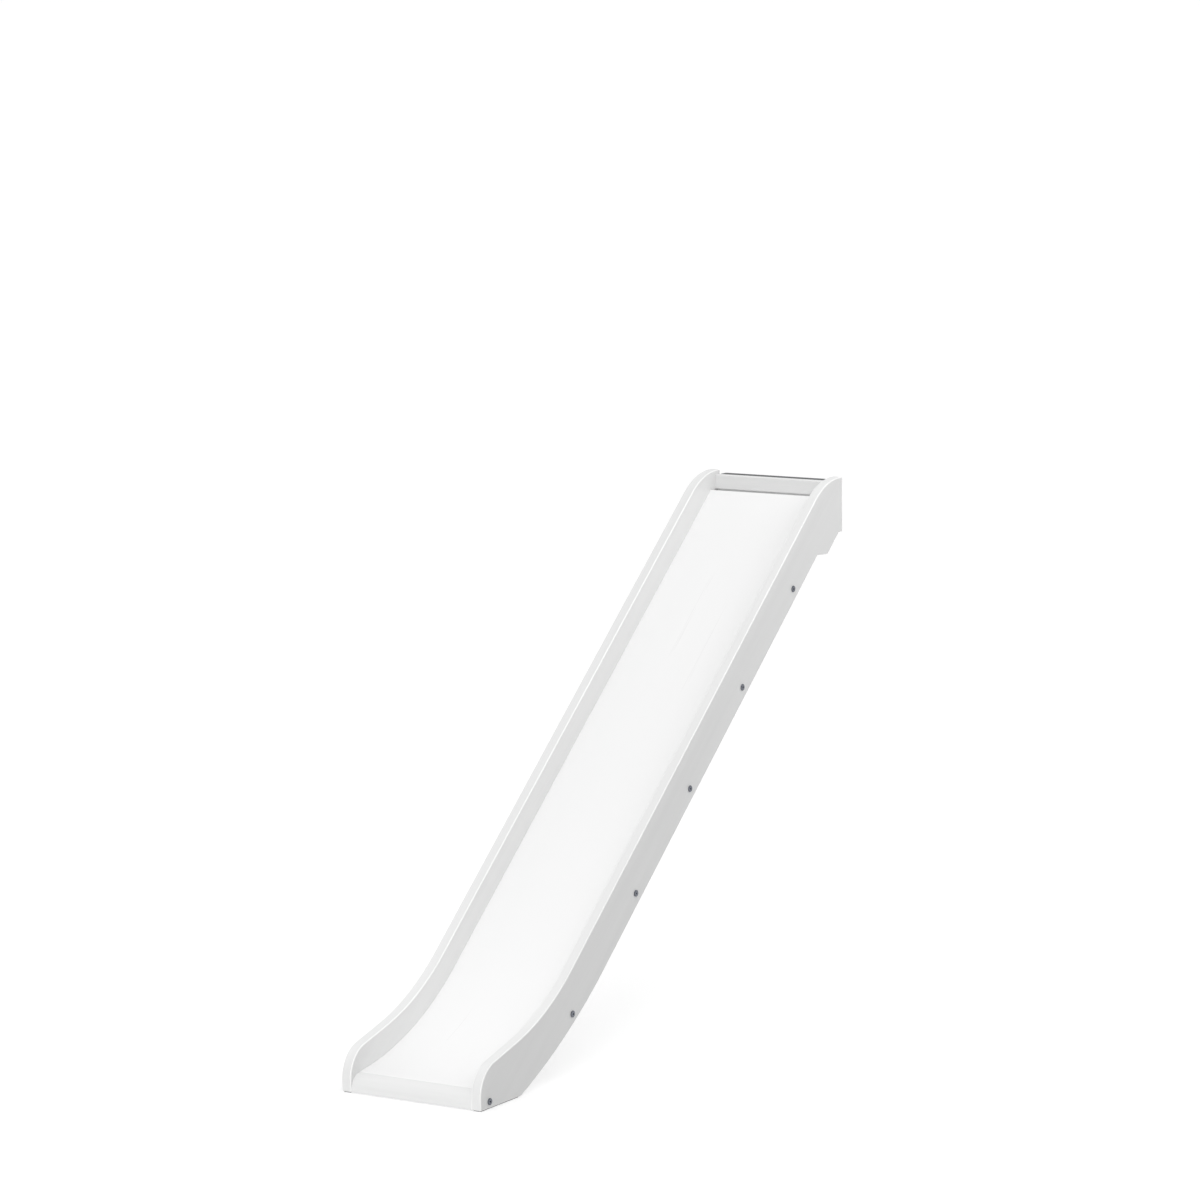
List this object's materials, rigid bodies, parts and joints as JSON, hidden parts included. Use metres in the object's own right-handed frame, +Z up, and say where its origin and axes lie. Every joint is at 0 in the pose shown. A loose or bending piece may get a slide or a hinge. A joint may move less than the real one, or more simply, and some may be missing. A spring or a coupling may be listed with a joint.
{
  "type": "straight slide",
  "caption": "Straight children's slide: two shaped side rails hold a bent smooth bed on cross rails; a rear hook plate hangs it on a bed or deck rail.",
  "frame": {"origin": "bottom centre of the object's box, on the floor", "axes": "+Z up, -Y towards the foot of the slide, +Y towards the bed or deck that it hangs on, X across the slide"},
  "size_m": [0.377, 1.6584, 1.229],
  "materials": {
    "painted_wood": "solid wood boards under satin white paint",
    "bed_laminate": "smooth white high-pressure laminate sheet, low gloss",
    "dark_steel": "dark powder-coated bent steel",
    "bolt_steel": "grey-blue zinc-plated steel with hexagon sockets",
    "nut_steel": "bright zinc-plated turned steel",
    "beech": "bare grooved beech dowel",
    "pad_rubber": "matt black rubber strip"
  },
  "bodies": {
    "root": {"barrel_nuts_left": "nut_steel", "barrel_nuts_right": "nut_steel", "bolts_left": "bolt_steel", "bolts_right": "bolt_steel", "cross_rail_1": "painted_wood", "cross_rail_2": "painted_wood", "cross_rail_3": "painted_wood", "cross_rail_4": "painted_wood", "curve_cross_rail": "painted_wood", "dowels_left": "beech", "dowels_right": "beech", "hook_plate": "dark_steel", "hook_screws": "nut_steel", "left_foot_pad": "pad_rubber", "left_side_rail": "painted_wood", "nose_board": "painted_wood", "right_foot_pad": "pad_rubber", "right_side_rail": "painted_wood", "slide_bed": "bed_laminate", "top_board": "painted_wood"}
  },
  "joints": []
}
